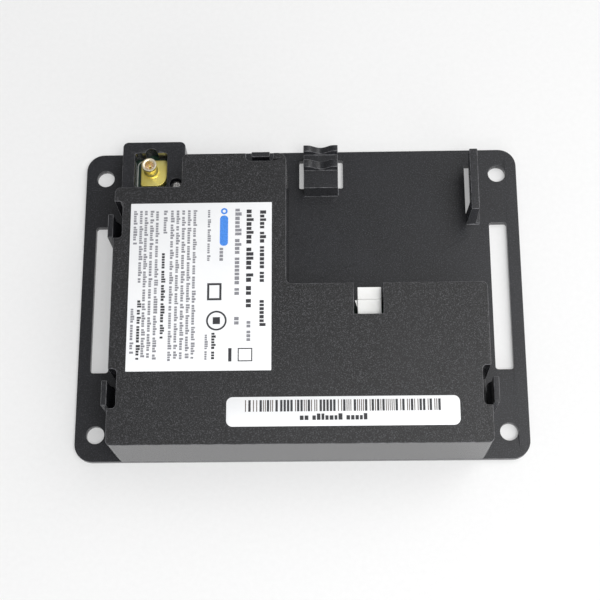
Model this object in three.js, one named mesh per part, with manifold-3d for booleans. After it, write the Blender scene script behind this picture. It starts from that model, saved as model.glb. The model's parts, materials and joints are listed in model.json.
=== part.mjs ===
// Controller module of a kiosk's contactless card reader, seen from its rear.
// Millimetres. X is the module's width, Y its length and Z its depth: the front face of the
// mounting plate lies at z = 0 and the rear cover's top face looks along +Z. The origin is the
// centre of the plate's front face.
import * as THREE from 'three';
import { mergeVertices } from 'three/addons/utils/BufferGeometryUtils.js';
import Module from 'manifold-3d';

const wasm = await Module();
wasm.setup();

// ---------------------------------------------------------------- driving dimensions

const ARC_STEPS = 5;         // straight steps in a quarter of a moulded corner
const ROUND_STEPS = 24;      // sides of a round hole or pin
const THROUGH = 1;           // how far a cutting tool runs past the face that it cuts
const WELD = 1e-4;           // vertices closer than this are one

const PLATE = {
  width: 130, length: 94.8, thickness: 2, corner: 5.2,
  holeRadius: 2.6, holeSpacingX: 118.3, holeSpacingY: 79.2,
  slotInner: 56.15, slotOuter: 61.4, slotBottom: -21.3, slotTop: 23.9, slotCorner: 0.9,
};

const COVER = {
  halfWidth: 52.3, bottom: -PLATE.length / 2, rowTop: -2.05,
  columnRight: -3.5, columnTop: 37.4, portLeft: -33.3, portBottom: 27.3,
  rim: PLATE.thickness + 0.1, top: 25, wall: 2, corner: 1.5, columnCorner: 2.3,
};

// The latches: a recess in the cover's edge, and an arm on the plate just outside it.
const RECESS = { length: 11, depth: 2.4, floor: 9, liner: 1.2, corner: 1.1 };
const ARM = { width: 7.1, thickness: 1.6, gap: 0.95, top: 20, foot: PLATE.thickness + 0.3 };
const BARB = { reach: 0.8, bottom: 9.4, leadIn: 12.3, top: 14.5 };
const TOP_LATCH = { recessLength: 7.8, armWidth: 5.3 };
const LATCHES = {
  left_top: { side: 'left', along: 17.6 },
  left_bottom: { side: 'left', along: -31.6 },
  right: { side: 'right', along: -31.5 },
  top: { side: 'top', along: -11.1 },
};

// The connector window in the cover. Its notch in the row's upper wall is open at the rim, so that
// the cover drops over the header, whose front reaches into the wall's thickness.
const WINDOW = { left: 15.2, right: 23.45, bottom: -11.1, floor: 12.9 };

const SHROUD = {
  left: -52.7, right: -34.1, bottom: 27.6, top: 47.4, height: 11.3, corner: 1.6,
  wall: 1.6, roof: 2,
  pocketLeft: -49.1, pocketRight: -39.4, pocketBottom: 33.1, pocketTop: 43.9, pocketCorner: 0.8,
  chimneyWall: 1, archRadius: 1.9, archX: -44.2, archY: 43.4,
  screwX: -36.6, screwY: 33.8, boreRadius: 1.95, boreFloor: 8.8, towerRadius: 2.9,
  bossRadius: 1.9, bossGap: 0.15,
};

const BRIDGE = {
  left: 1.1, right: 11.3, bottom: 33.1, top: 45.8, deck: 8.5, deckThickness: 2.2,
  nearLeg: 35.5, farLeg: 44.6, ridgeTop: 11.1, ridgeDip: 9.2, shoulder: 1.2, dipSteps: 14,
  nearRidge: [38.8, 41.3], farRidge: [43.8, 45.8],
  windowMargin: 1.5, windowCorner: 0.5, ridgeRoot: 1,
};

const HOOK = {
  left: 50.9, right: 52.3, bottom: 23.5, top: 42.5, height: 14.5,
  lipLeft: 49.95, lipBottom: 10.5, lipSlope: 0.95, endTop: 26.9,
  footLeft: 49.4, footRight: 53.5, footHeight: 0.5, slotLeft: 49.35, slotTop: 42.3,
};

const RF_BOARD = { bottom: 4.1, thickness: 1.6, inset: COVER.wall + 0.3, gap: 0.3, corner: 0.5 };
RF_BOARD.top = RF_BOARD.bottom + RF_BOARD.thickness;
const MAIN_BOARD = {
  left: -49.4, right: 49.4, low: -45, high: -5.2, bottom: 11.6, thickness: 1.6, corner: 1,
  latchGap: 0.4,
};
MAIN_BOARD.top = MAIN_BOARD.bottom + MAIN_BOARD.thickness;

const SCREW = {
  shank: 1.1, hole: 1.45, holeFloor: 0.8, tip: 1, head: 2.2, headHeight: 1.5, bossRadius: 3,
};
const SHROUD_SCREW = { head: 1.65, headHeight: 1.6 };
const STACK_SCREWS = [[-46, -42], [46, -42], [46, -9], [-46, -9]];
const RF_SCREWS = [[-9, 32], [-46.2, 3.5]];
const SPACER = { radius: 2.7, sides: 6 };

const JACK = {
  x: -44.6, y: 39.55, footLeft: -47.65, footRight: -39.85, footBottom: 34.75, footTop: 43.05,
  baseHeight: 2, keyedCorner: 3.2, corner: 0.7,
  barrel: 2.17, bore: 1.2, height: 7, root: 0.4, collar: 0.6, neck: 1.75, neckTop: 3.4,
  taper: 0.3, chamfer: 0.2,
  insulatorHeight: 1.8, pin: 0.35, pinTop: 6, clearance: 0.05,
};

const HEADER = {
  left: 16.3, right: 23, back: -13.4, front: -2.3, top: 21.5, step: 0.5, stepY: -5.8,
  cavityWall: 0.9, cavityFloor: 1.1, cavityTop: 19.9, cavityBack: -10,
  pin: 0.64, pinHole: 0.94, pinFront: -4.6, pinColumns: [18.15, 21.15], pinRows: [15.8, 18.4],
  pinBends: [-14.7, -16.2], keyWidth: 2.2, keyDepth: 0.7,
};

// Board parts: centre x, y, then size along x, y and z.
const RF_PARTS = {
  shield_frame: { x: -37.5, y: 15.5, width: 19, length: 16, height: 3.2 },
  reader_chip: { x: -37.5, y: 15.5, width: 7, length: 7, height: 0.9 },
  crystal_can: { x: -21, y: 20, width: 4.6, length: 11, height: 3.4 },
};
const SHIELD = { wall: 0.3, lip: 1.1, lidThickness: 0.3, lidDrop: 1.4, gap: 0.1 };
const MATCH_COILS = { x: -44.5, y: 29.4, pitch: 3.8, count: 3, size: 3, height: 2.2 };
const MAIN_PARTS = {
  processor_chip: { x: -6.5, y: -21, width: 16, length: 16, height: 1.5 },
  memory_chip: { x: -6.5, y: -36.5, width: 10, length: 6, height: 1.6 },
  line_transceiver: { x: 9.5, y: -21, width: 10.4, length: 7.6, height: 2.3 },
  power_inductor: { x: 36.5, y: -19, width: 10, length: 10, height: 4.6 },
  rectifier_diode: { x: 29.2, y: -11, width: 4.4, length: 2.6, height: 2.1 },
  fuse: { x: 36.5, y: -9.4, width: 6.2, length: 2.7, height: 2.4 },
};
const CAPACITORS = {
  radius: 4, height: 7.2, base: 8.3, baseHeight: 1,
  places: [[33, -33.5], [42.3, -29.5], [23, -33.5]],
};
const BEEPER = { x: -31, y: -14.4, radius: 6, height: 6.5, port: 1, portDepth: 2 };
const CARD_SOCKET = {
  x: -29.5, y: -33.2, width: 26, length: 17, height: 2.6, floor: 0.8, wall: 1,
  cover: 0.25, coverInset: 3, card: 0.76, cardMargin: 1.3, gap: 0.1,
};
const STACK = {
  x: 8, y: -27, width: 4.6, length: 22, socketHeight: 3.4, plugHeight: 2.3,
  tongue: 1.8, slack: 0.3, endWall: 1, root: 0.5,
};

const LABEL = {
  thickness: 0.15,
  rating: { left: -47.5, right: -7.55, bottom: -26.95, top: 22.2, corner: 0.2 },
  serial: { left: -19.7, right: 43.4, bottom: -42.55, top: -34.4, corner: 1.7 },
};

const MATERIALS = {
  housing: { color: 0x2b2b2d, roughness: 0.55, metalness: 0 },
  label: { color: 0xe9eaec, roughness: 0.4, metalness: 0 },
  board: { color: 0x1f5c35, roughness: 0.5, metalness: 0 },
  gold: { color: 0xd9a93c, roughness: 0.25, metalness: 1 },
  insulator: { color: 0xd9cbb8, roughness: 0.5, metalness: 0 },
  nylon: { color: 0xe6e6e0, roughness: 0.45, metalness: 0 },
  steel: { color: 0xb7b9bb, roughness: 0.35, metalness: 1 },
  aluminium: { color: 0xc9cbcd, roughness: 0.3, metalness: 1 },
  chip: { color: 0x1c1c1e, roughness: 0.6, metalness: 0 },
  ferrite: { color: 0x3a3b3e, roughness: 0.7, metalness: 0 },
};

// ---------------------------------------------------------------- solids

const module3d = new THREE.Group();

/** A three.js geometry as a manifold-3d solid. */
function solid(geometry) {
  const plain = geometry.clone();
  plain.deleteAttribute('normal');
  plain.deleteAttribute('uv');
  const merged = mergeVertices(plain, WELD);
  return new wasm.Manifold(new wasm.Mesh({
    numProp: 3,
    vertProperties: new Float32Array(merged.attributes.position.array),
    triVerts: new Uint32Array(merged.index.array),
  }));
}

/** Adds a finished solid to the model as a named mesh with its own material. */
function piece(name, body, look) {
  const result = body.getMesh();
  const geometry = new THREE.BufferGeometry();
  geometry.setAttribute('position', new THREE.BufferAttribute(result.vertProperties, 3));
  geometry.setIndex(new THREE.BufferAttribute(result.triVerts, 1));
  geometry.computeVertexNormals();
  const mesh = new THREE.Mesh(geometry, new THREE.MeshStandardMaterial(MATERIALS[look]));
  mesh.name = name;
  module3d.add(mesh);
}

/** A box between two corners. */
function block([x0, x1], [y0, y1], [z0, z1]) {
  const geometry = new THREE.BoxGeometry(x1 - x0, y1 - y0, z1 - z0);
  geometry.translate((x0 + x1) / 2, (y0 + y1) / 2, (z0 + z1) / 2);
  return solid(geometry);
}

/** A box on a centre point, standing on z. */
function slab({ x, y, width, length, height }, z) {
  return block([x - width / 2, x + width / 2], [y - length / 2, y + length / 2], [z, z + height]);
}

/** A shape drawn in X and Y, from z0 up to z1. */
function prism(shape, z0, z1) {
  const geometry = new THREE.ExtrudeGeometry(shape, {
    depth: z1 - z0, bevelEnabled: false, curveSegments: ARC_STEPS,
  });
  geometry.translate(0, 0, z0);
  return solid(geometry);
}

/** An upright round bar. */
function bar(x, y, radius, z0, z1, sides = ROUND_STEPS) {
  const geometry = new THREE.CylinderGeometry(radius, radius, z1 - z0, sides);
  geometry.rotateX(Math.PI / 2);
  geometry.translate(x, y, (z0 + z1) / 2);
  return solid(geometry);
}

/** An outline of square corners, each rounded to its own radius; points run anticlockwise. */
function roundedOutline(points, radii) {
  const shape = new THREE.Shape();
  points.forEach(([x, y], i) => {
    const before = points[(i + points.length - 1) % points.length];
    const after = points[(i + 1) % points.length];
    const radius = Array.isArray(radii) ? radii[i] : radii;
    const arrive = [Math.sign(x - before[0]), Math.sign(y - before[1])];
    const leave = [Math.sign(after[0] - x), Math.sign(after[1] - y)];
    const start = [x - arrive[0] * radius, y - arrive[1] * radius];
    const centre = [start[0] + leave[0] * radius, start[1] + leave[1] * radius];
    const end = [x + leave[0] * radius, y + leave[1] * radius];
    const turn = arrive[0] * leave[1] - arrive[1] * leave[0];
    const angle = (p) => Math.atan2(p[1] - centre[1], p[0] - centre[0]);
    if (i === 0) shape.moveTo(...start);
    else shape.lineTo(...start);
    shape.absarc(...centre, radius, angle(start), angle(end), turn < 0);
  });
  shape.closePath();
  return shape;
}

function roundedBox(left, right, bottom, top, radius) {
  return roundedOutline([[left, bottom], [right, bottom], [right, top], [left, top]], radius);
}

/** The corner points of a square-cornered outline, moved inwards by a distance. */
function inset(points, distance) {
  return points.map(([x, y], i) => {
    const before = points[(i + points.length - 1) % points.length];
    const after = points[(i + 1) % points.length];
    const arrive = [Math.sign(x - before[0]), Math.sign(y - before[1])];
    const leave = [Math.sign(after[0] - x), Math.sign(after[1] - y)];
    const outward = [arrive[1] + leave[1], -arrive[0] - leave[0]];
    return [x - outward[0] * distance, y - outward[1] * distance];
  });
}

const cut = (body, ...tools) => tools.reduce((rest, tool) => rest.subtract(tool), body);
const join = (body, ...more) => more.reduce((sum, next) => sum.add(next), body);

// ---------------------------------------------------------------- housing

/** A plate with a boss added under the RF board, and a blind screw hole down it. */
function withBoss(plate, [x, y], radius) {
  const boss = bar(x, y, radius, PLATE.thickness / 2, RF_BOARD.bottom);
  const hole = bar(x, y, SCREW.hole, SCREW.holeFloor, RF_BOARD.bottom + THROUGH);
  return cut(join(plate, boss), hole);
}

function mountingPlate() {
  const { width, length, thickness, corner, holeRadius } = PLATE;
  const below = -THROUGH;
  const above = thickness + THROUGH;
  let plate = prism(roundedBox(-width / 2, width / 2, -length / 2, length / 2, corner), 0, thickness);
  for (const x of [-PLATE.holeSpacingX / 2, PLATE.holeSpacingX / 2]) {
    for (const y of [-PLATE.holeSpacingY / 2, PLATE.holeSpacingY / 2]) {
      plate = cut(plate, bar(x, y, holeRadius, below, above, 2 * ROUND_STEPS));
    }
  }
  for (const [x0, x1] of [[-PLATE.slotOuter, -PLATE.slotInner], [PLATE.slotInner, PLATE.slotOuter]]) {
    const slot = roundedBox(x0, x1, PLATE.slotBottom, PLATE.slotTop, PLATE.slotCorner);
    plate = cut(plate, prism(slot, below, above));
  }
  const tieWindow = roundedBox(
    BRIDGE.left - BRIDGE.windowMargin, BRIDGE.right + BRIDGE.windowMargin,
    BRIDGE.nearLeg, BRIDGE.farLeg, BRIDGE.windowCorner);
  const hookSlot = block([HOOK.slotLeft, HOOK.left], [HOOK.endTop, HOOK.slotTop], [below, above]);
  plate = cut(plate, prism(tieWindow, below, above), hookSlot);
  for (const place of [...STACK_SCREWS, ...RF_SCREWS]) {
    plate = withBoss(plate, place, SCREW.bossRadius);
  }
  return withBoss(plate, [SHROUD.screwX, SHROUD.screwY], SHROUD.bossRadius);
}

/** The low box round the coax jack, with a pocket and an arched notch down to the board. */
function rfPortShroud() {
  const s = SHROUD;
  const base = PLATE.thickness;
  const outer = prism(roundedBox(s.left, s.right, s.bottom, s.top, s.corner), base, s.height);
  const hollow = block([s.left + s.wall, s.right - s.wall], [s.bottom - THROUGH, s.top - s.wall],
    [base - THROUGH, s.height - s.roof]);
  const chimneyFoot = RF_BOARD.top + RF_BOARD.gap;
  const chimney = block([s.pocketLeft - s.chimneyWall, s.pocketRight + s.chimneyWall],
    [s.pocketBottom - s.chimneyWall, s.top - s.wall], [chimneyFoot, s.height - s.roof]);
  const tower = bar(s.screwX, s.screwY, s.towerRadius, chimneyFoot, s.height - s.roof)
    .intersect(outer);
  const pocket = prism(roundedBox(s.pocketLeft, s.pocketRight, s.pocketBottom, s.pocketTop,
    s.pocketCorner), base - THROUGH, s.height + THROUGH);
  const arch = bar(s.archX, s.archY, s.archRadius, base - THROUGH, s.height + THROUGH);
  const headBore = bar(s.screwX, s.screwY, s.boreRadius, s.boreFloor, s.height + THROUGH);
  const shankBore = bar(s.screwX, s.screwY, SCREW.hole, base, s.height);
  const bossRoom = bar(s.screwX, s.screwY, s.bossRadius + s.bossGap, base - THROUGH,
    RF_BOARD.top);
  const body = join(cut(outer, hollow), chimney, tower);
  return cut(body, pocket, arch, headBore, shankBore, bossRoom);
}

/** One ridge of the cable-tie bridge: flat shoulders that run smoothly into a dip for a cable. */
function saddleRidge([y0, y1]) {
  const b = BRIDGE;
  const dipLeft = b.left + b.shoulder;
  const dipWidth = b.right - b.shoulder - dipLeft;
  const sag = b.ridgeTop - b.ridgeDip;
  const shape = new THREE.Shape();
  shape.moveTo(b.left, b.deck - b.ridgeRoot);
  shape.lineTo(b.right, b.deck - b.ridgeRoot);
  shape.lineTo(b.right, b.ridgeTop);
  for (let step = b.dipSteps; step >= 0; step -= 1) {
    const across = step / b.dipSteps;
    const drop = (1 - Math.cos(2 * Math.PI * across)) / 2;
    shape.lineTo(dipLeft + dipWidth * across, b.ridgeTop - sag * drop);
  }
  shape.lineTo(b.left, b.ridgeTop);
  shape.closePath();
  const geometry = new THREE.ExtrudeGeometry(shape, { depth: y1 - y0, bevelEnabled: false });
  geometry.rotateX(Math.PI / 2);
  geometry.translate(0, y1, 0);
  return solid(geometry);
}

/** A bridge over the plate's window, so that a cable tie passes under its deck. */
function cableTieBridge() {
  const b = BRIDGE;
  const base = PLATE.thickness;
  const span = [b.left, b.right];
  const whole = block(span, [b.bottom, b.top], [base, b.deck]);
  const tunnel = block([b.left - THROUGH, b.right + THROUGH], [b.nearLeg, b.farLeg],
    [base - THROUGH, b.deck - b.deckThickness]);
  return join(cut(whole, tunnel), saddleRidge(b.nearRidge), saddleRidge(b.farRidge));
}

/** An upright rib with a lip towards the cover and a closed near end. */
function retainingHook() {
  const h = HOOK;
  const base = PLATE.thickness;
  const rib = new THREE.Shape();
  rib.moveTo(h.left, base);
  rib.lineTo(h.footRight, base);
  rib.lineTo(h.footRight, base + h.footHeight);
  rib.lineTo(h.right, base + 2 * h.footHeight);
  rib.lineTo(h.right, h.height);
  rib.lineTo(h.lipLeft, h.height);
  rib.lineTo(h.lipLeft, h.lipBottom);
  rib.lineTo(h.left, h.lipBottom - h.lipSlope);
  rib.closePath();
  const end = new THREE.Shape();
  end.moveTo(h.footLeft, base);
  end.lineTo(h.footRight, base);
  end.lineTo(h.footRight, base + h.footHeight);
  end.lineTo(h.right, base + 2 * h.footHeight);
  end.lineTo(h.right, h.height);
  end.lineTo(h.lipLeft, h.height);
  end.closePath();
  const along = (shape, y0, y1) => {
    const geometry = new THREE.ExtrudeGeometry(shape, { depth: y1 - y0, bevelEnabled: false });
    geometry.rotateX(Math.PI / 2);
    geometry.translate(0, y1, 0);
    return solid(geometry);
  };
  return join(along(rib, h.bottom, h.top), along(end, h.bottom, h.endTop));
}

// ---------------------------------------------------------------- latches

/** Turns a shape made for the left side, at y = 0, to the side where its latch is. */
function placeLatch(body, { side, along }) {
  if (side === 'left') return body.translate([0, along, 0]);
  if (side === 'right') return body.mirror([1, 0, 0]).translate([0, along, 0]);
  const shift = COVER.columnTop - COVER.halfWidth;
  return body.rotate([0, 0, -90]).translate([along, shift, 0]);
}

function latchSize(latch) {
  return latch.side === 'top'
    ? { recess: TOP_LATCH.recessLength, arm: TOP_LATCH.armWidth }
    : { recess: RECESS.length, arm: ARM.width };
}

/** The tool that opens the recess, and the thicker wall that closes it inside the cover. */
function latchRecess(latch) {
  const half = latchSize(latch).recess / 2;
  const face = -COVER.halfWidth;
  const tool = prism(roundedBox(face - 2 * RECESS.depth, face + RECESS.depth, -half, half,
    RECESS.corner), RECESS.floor, COVER.top + THROUGH);
  const liner = block([face + COVER.wall / 2, face + RECESS.depth + RECESS.liner],
    [-half - RECESS.liner, half + RECESS.liner],
    [RECESS.floor - RECESS.liner, COVER.top - COVER.wall / 2]);
  return { tool: placeLatch(tool, latch), liner: placeLatch(liner, latch) };
}

/** A springy arm that stands on the plate; its barb points at the cover's recess. */
function latchArm(latch) {
  const half = latchSize(latch).arm / 2;
  const inner = -COVER.halfWidth - ARM.gap;
  const outer = inner - ARM.thickness;
  const shape = new THREE.Shape();
  shape.moveTo(outer, ARM.foot);
  shape.lineTo(inner, ARM.foot);
  shape.lineTo(inner, BARB.bottom);
  shape.lineTo(inner + BARB.reach, BARB.bottom);
  shape.lineTo(inner + BARB.reach, BARB.leadIn);
  shape.lineTo(inner, BARB.top);
  shape.lineTo(inner, ARM.top);
  shape.lineTo(outer, ARM.top);
  shape.closePath();
  const geometry = new THREE.ExtrudeGeometry(shape, { depth: 2 * half, bevelEnabled: false });
  geometry.rotateX(Math.PI / 2);
  geometry.translate(0, half, 0);
  return placeLatch(solid(geometry), latch);
}

// ---------------------------------------------------------------- rear cover

const PORT_CORNER = 6;       // the inner corner of the cut-out round the coax jack
const COVER_CORNERS = [
  [-COVER.halfWidth, COVER.bottom], [COVER.halfWidth, COVER.bottom],
  [COVER.halfWidth, COVER.rowTop], [COVER.columnRight, COVER.rowTop],
  [COVER.columnRight, COVER.columnTop], [COVER.portLeft, COVER.columnTop],
  [COVER.portLeft, COVER.portBottom], [-COVER.halfWidth, COVER.portBottom],
];

/** The L-shaped shell: walls down to the plate, latch recesses and the connector window. */
function rearCover() {
  const c = COVER;
  const isColumnTop = ([x, y]) => x === c.columnRight && y === c.columnTop;
  const radii = COVER_CORNERS.map((corner) => (isColumnTop(corner) ? c.columnCorner : c.corner));
  const outer = prism(roundedOutline(COVER_CORNERS, radii), c.rim, c.top);
  const hollow = prism(roundedOutline(inset(COVER_CORNERS, c.wall), c.corner / 2),
    c.rim - THROUGH, c.top - c.wall);
  const recesses = Object.values(LATCHES).map(latchRecess);
  const shell = join(cut(outer, hollow), ...recesses.map((r) => r.liner.intersect(outer)));
  const window = block([WINDOW.left, WINDOW.right], [WINDOW.bottom, c.rowTop + THROUGH],
    [WINDOW.floor, c.top + THROUGH]);
  const notch = block([WINDOW.left, WINDOW.right], [c.rowTop - c.wall - THROUGH, c.rowTop + THROUGH],
    [c.rim - THROUGH, c.top]);
  const boardGap = block([-c.halfWidth + c.wall, SHROUD.right - SHROUD.wall],
    [c.portBottom - c.wall - THROUGH, c.portBottom + THROUGH],
    [c.rim - THROUGH, RF_BOARD.top + 2 * RF_BOARD.gap]);
  return cut(shell, window, notch, boardGap, ...recesses.map((r) => r.tool));
}

function label({ left, right, bottom, top, corner }) {
  const outline = roundedBox(left, right, bottom, top, corner);
  return prism(outline, COVER.top, COVER.top + LABEL.thickness);
}

// ---------------------------------------------------------------- boards

/** The RF board follows the cover's inside and runs on under the port shroud. */
function rfBoard() {
  const within = inset(COVER_CORNERS, RF_BOARD.inset);
  const [left] = within[0];
  const [, shoulder] = within[PORT_CORNER];
  const right = SHROUD.right - SHROUD.wall - RF_BOARD.gap;
  const top = SHROUD.top - SHROUD.wall - RF_BOARD.gap;
  const corners = [
    ...within.slice(0, PORT_CORNER + 1), [right, shoulder], [right, top], [left, top],
  ];
  let board = prism(roundedOutline(corners, RF_BOARD.corner), RF_BOARD.bottom, RF_BOARD.top);
  for (const [x, y] of [...STACK_SCREWS, ...RF_SCREWS, [SHROUD.screwX, SHROUD.screwY]]) {
    board = cut(board, bar(x, y, SCREW.hole, RF_BOARD.bottom - THROUGH, RF_BOARD.top + THROUGH));
  }
  return board;
}

/** The main board, notched on both sides where the latch recesses reach in. */
function mainBoard() {
  const b = MAIN_BOARD;
  let board = prism(roundedBox(b.left, b.right, b.low, b.high, b.corner), b.bottom, b.top);
  for (const [x, y] of STACK_SCREWS) {
    board = cut(board, bar(x, y, SCREW.hole, b.bottom - THROUGH, b.top + THROUGH));
  }
  const half = RECESS.length / 2 + RECESS.liner + b.latchGap;
  const reach = RECESS.depth + RECESS.liner + b.latchGap;
  for (const latch of Object.values(LATCHES).filter(({ side }) => side !== 'top')) {
    const notch = block([-COVER.halfWidth, reach - COVER.halfWidth], [-half, half],
      [b.bottom - THROUGH, b.top + THROUGH]);
    board = cut(board, placeLatch(notch, latch));
  }
  return board;
}

/** A pan-head screw: head under z + height, shank down to its tip. */
function screw([x, y], headRadius, headHeight, z) {
  const head = bar(x, y, headRadius, z, z + headHeight);
  return join(head, bar(x, y, SCREW.shank, SCREW.tip, z + headHeight / 2, ROUND_STEPS / 2));
}

function spacer([x, y]) {
  const outer = bar(x, y, SPACER.radius, RF_BOARD.top, MAIN_BOARD.bottom, SPACER.sides);
  return cut(outer, bar(x, y, SCREW.hole, RF_BOARD.top - THROUGH, MAIN_BOARD.bottom + THROUGH));
}

// ---------------------------------------------------------------- coax jack

/** Gold body: a square foot with one large round corner, and a barrel with a neck. */
function jackBody() {
  const j = JACK;
  const z = RF_BOARD.top;
  const corners = [
    [j.footLeft, j.footBottom], [j.footRight, j.footBottom],
    [j.footRight, j.footTop], [j.footLeft, j.footTop],
  ];
  const foot = prism(roundedOutline(corners, [j.corner, j.keyedCorner, j.corner, j.corner]),
    z, z + j.baseHeight);
  const neckBottom = j.baseHeight + j.collar;
  const neckTop = j.baseHeight + j.neckTop;
  const profile = [
    [0, j.root], [j.barrel, j.root], [j.barrel, neckBottom], [j.neck, neckBottom + j.taper],
    [j.neck, neckTop - j.taper], [j.barrel, neckTop],
    [j.barrel, j.height - j.chamfer], [j.barrel - j.chamfer, j.height], [0, j.height],
  ].map(([r, h]) => new THREE.Vector2(r, h));
  const lathe = new THREE.LatheGeometry(profile, ROUND_STEPS);
  lathe.rotateX(Math.PI / 2);
  lathe.translate(j.x, j.y, z);
  const bore = bar(j.x, j.y, j.bore, z + j.baseHeight, z + j.height + THROUGH);
  return cut(join(foot, solid(lathe)), bore);
}

function jackInsulator() {
  const j = JACK;
  const z = RF_BOARD.top + j.baseHeight;
  const disc = bar(j.x, j.y, j.bore - j.clearance, z + j.clearance, z + j.insulatorHeight);
  return cut(disc, bar(j.x, j.y, j.pin + j.clearance, z - THROUGH, z + j.insulatorHeight + THROUGH));
}

function jackPin() {
  const z = RF_BOARD.top + JACK.baseHeight;
  const top = RF_BOARD.top + JACK.pinTop;
  return bar(JACK.x, JACK.y, JACK.pin, z + 2 * JACK.clearance, top, ROUND_STEPS / 2);
}

// ---------------------------------------------------------------- power and data header

function headerHousing() {
  const h = HEADER;
  const z = MAIN_BOARD.top;
  const whole = block([h.left, h.right], [h.back, h.front], [z, h.top]);
  const cavity = block([h.left + h.cavityWall, h.right - h.cavityWall],
    [h.cavityBack, h.front + THROUGH], [z + h.cavityFloor, h.cavityTop]);
  const step = block([h.left - THROUGH, h.right + THROUGH], [h.back - THROUGH, h.stepY],
    [h.top - h.step, h.top + THROUGH]);
  const middle = (h.left + h.right) / 2;
  const key = block([middle - h.keyWidth / 2, middle + h.keyWidth / 2],
    [h.stepY, h.front + THROUGH], [h.cavityTop - THROUGH, h.cavityTop + h.keyDepth]);
  const holes = headerPins().map(({ x, row }) => block([x - h.pinHole / 2, x + h.pinHole / 2],
    [h.back - THROUGH, h.cavityBack + THROUGH], [row - h.pinHole / 2, row + h.pinHole / 2]));
  return cut(whole, cavity, step, key, ...holes);
}

function headerPins() {
  return HEADER.pinRows.flatMap((row, level) => HEADER.pinColumns.map((x) => (
    { x, row, bend: HEADER.pinBends[level] })));
}

/** A square contact: straight through the housing's back, then down to the board. */
function headerPin({ x, row, bend }) {
  const half = HEADER.pin / 2;
  const run = block([x - half, x + half], [bend - half, HEADER.pinFront], [row - half, row + half]);
  const drop = block([x - half, x + half], [bend - half, bend + half], [MAIN_BOARD.top, row + half]);
  return join(run, drop);
}

// ---------------------------------------------------------------- board parts

function shieldFrame() {
  const f = RF_PARTS.shield_frame;
  const inner = (margin) => ({ ...f, width: f.width - 2 * margin, length: f.length - 2 * margin });
  const z = RF_BOARD.top;
  const walls = cut(slab(f, z), slab({ ...inner(SHIELD.wall), height: f.height - SHIELD.wall }, z));
  return cut(walls, slab({ ...inner(SHIELD.lip), height: 2 * f.height }, z));
}

function shieldLid() {
  const f = RF_PARTS.shield_frame;
  const margin = SHIELD.gap + SHIELD.wall;
  const z = RF_BOARD.top + f.height - SHIELD.lidDrop;
  const grown = (by) => ({ ...f, width: f.width + 2 * by, length: f.length + 2 * by });
  const height = SHIELD.lidDrop + SHIELD.gap;
  const shell = slab({ ...grown(margin), height: height + SHIELD.lidThickness }, z);
  return cut(shell, slab({ ...grown(SHIELD.gap), height: height + THROUGH }, z - THROUGH));
}

/** Surface-mount capacitor: a can with a crimp on a square plastic foot. */
function capacitor([x, y]) {
  const c = CAPACITORS;
  const z = MAIN_BOARD.top;
  const foot = slab({ x, y, width: c.base, length: c.base, height: c.baseHeight }, z);
  return join(foot, bar(x, y, c.radius, z + c.baseHeight / 2, z + c.height));
}

function beeper() {
  const z = MAIN_BOARD.top;
  const top = z + BEEPER.height;
  const can = bar(BEEPER.x, BEEPER.y, BEEPER.radius, z, top);
  return cut(can, bar(BEEPER.x, BEEPER.y, BEEPER.port, top - BEEPER.portDepth, top + THROUGH));
}

/** Frame that a small security card slides into. */
function cardSocket() {
  const s = CARD_SOCKET;
  const z = MAIN_BOARD.top;
  const { x, y, width, length } = s;
  const room = { x: x + s.wall, y, width: width - s.wall, length: length - 2 * s.wall, height: s.height };
  return cut(slab({ x, y, width, length, height: s.height }, z), slab(room, z + s.floor));
}

function cardSocketCover() {
  const s = CARD_SOCKET;
  const z = MAIN_BOARD.top + s.height;
  const width = s.width - 2 * s.coverInset;
  return slab({ x: s.x, y: s.y, width, length: s.length, height: s.cover }, z);
}

function securityCard() {
  const s = CARD_SOCKET;
  const z = MAIN_BOARD.top + s.floor + s.gap;
  const width = s.width - 2 * s.cardMargin;
  const length = s.length - 2 * s.cardMargin;
  return slab({ x: s.x + s.cardMargin, y: s.y, width, length, height: s.card }, z);
}

/** Two halves of the connector that joins the boards; the plug's tongue enters the socket. */
function stackingSocket() {
  const s = STACK;
  const body = slab({ ...s, height: s.socketHeight }, RF_BOARD.top);
  const groove = {
    ...s, width: s.tongue + 2 * s.slack, length: s.length - 2 * s.endWall, height: s.socketHeight,
  };
  return cut(body, slab(groove, RF_BOARD.top + s.socketHeight / 2));
}

function stackingPlug() {
  const s = STACK;
  const body = slab({ ...s, height: s.plugHeight }, MAIN_BOARD.bottom - s.plugHeight);
  const reach = MAIN_BOARD.bottom - RF_BOARD.top - s.plugHeight - s.socketHeight / 2 - s.slack;
  const tongue = {
    ...s, width: s.tongue, length: s.length - 3 * s.endWall, height: reach + s.root,
  };
  return join(body, slab(tongue, MAIN_BOARD.bottom - s.plugHeight - reach));
}

// ---------------------------------------------------------------- assembly

piece('mounting_plate', mountingPlate(), 'housing');
piece('rf_port_shroud', rfPortShroud(), 'housing');
piece('cable_tie_bridge', cableTieBridge(), 'housing');
piece('retaining_hook', retainingHook(), 'housing');
for (const [place, latch] of Object.entries(LATCHES)) {
  piece(`latch_arm_${place}`, latchArm(latch), 'housing');
}

piece('rear_cover', rearCover(), 'housing');
piece('rating_label', label(LABEL.rating), 'label');
piece('serial_label', label(LABEL.serial), 'label');

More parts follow.
